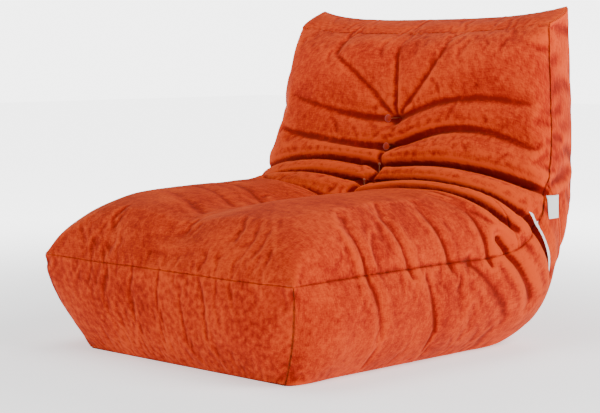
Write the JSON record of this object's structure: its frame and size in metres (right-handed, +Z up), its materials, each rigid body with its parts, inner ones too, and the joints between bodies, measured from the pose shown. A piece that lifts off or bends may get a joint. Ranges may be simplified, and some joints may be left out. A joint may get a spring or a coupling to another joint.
{
  "type": "bean bag chair",
  "caption": "Boxed bean bag lounge chair: a low seat that turns up into a leaning backrest, with covered buttons, tufts in the crook and a zipped cover.",
  "frame": {"origin": "on the floor, under the middle of the bag's bounding box", "axes": "+Z up, -Y towards the front of the seat, +X to the right of someone looking along +Y at the front"},
  "size_m": [0.9306, 0.9884, 0.8111],
  "materials": {
    "cover_fabric": "brushed pile, matte",
    "button_fabric": "brushed pile, matte",
    "base_fabric": "matte",
    "wadding": "matte",
    "liner_cloth": "matte",
    "beads": "matte",
    "shank_wire": "satin",
    "twine": "matte",
    "anchor_plastic": "satin",
    "gather_tape": "matte",
    "zip_tape": "matte",
    "zip_coil": "satin",
    "zip_metal": "satin",
    "label_tape": "satin weave"
  },
  "bodies": {
    "cover_and_fill": {"seat_panel": "cover_fabric", "backrest_panel": "cover_fabric", "front_panel": "cover_fabric", "top_panel": "cover_fabric", "rear_panel_upper": "cover_fabric", "rear_panel_lower": "cover_fabric", "seat_gusset_left": "cover_fabric", "seat_gusset_right": "cover_fabric", "back_gusset_left": "cover_fabric", "back_gusset_right": "cover_fabric", "base_panel": "base_fabric", "front_wadding": "wadding", "seat_wadding": "wadding", "backrest_wadding": "wadding", "top_wadding": "wadding", "inner_liner": "liner_cloth", "bead_fill": "beads", "button_caps": "button_fabric", "button_shanks": "shank_wire", "button_twines": "twine", "crook_ties": "twine", "tie_anchors": "anchor_plastic", "gather_tape_left": "gather_tape", "gather_tape_right": "gather_tape", "zip_tape_upper": "zip_tape", "zip_tape_lower": "zip_tape", "zip_coil_upper": "zip_coil", "zip_coil_lower": "zip_coil", "zip_stops": "zip_metal", "side_label": "label_tape", "care_label": "label_tape"},
    "slider": {"zip_slider": "zip_metal"},
    "pull": {"zip_pull": "zip_metal"}
  },
  "joints": [
    {"name": "zip_slide", "type": "slide", "parent": "cover_and_fill", "child": "slider", "axis": [-1, 0, 0], "range_m": [0, 0.625]},
    {"name": "pull_hinge", "type": "hinge", "parent": "slider", "child": "pull", "pos_m": [0.31265, 0.47684, 0.22417], "axis": [0, -0.2707, -0.9626], "range_deg": [0, 175]}
  ]
}
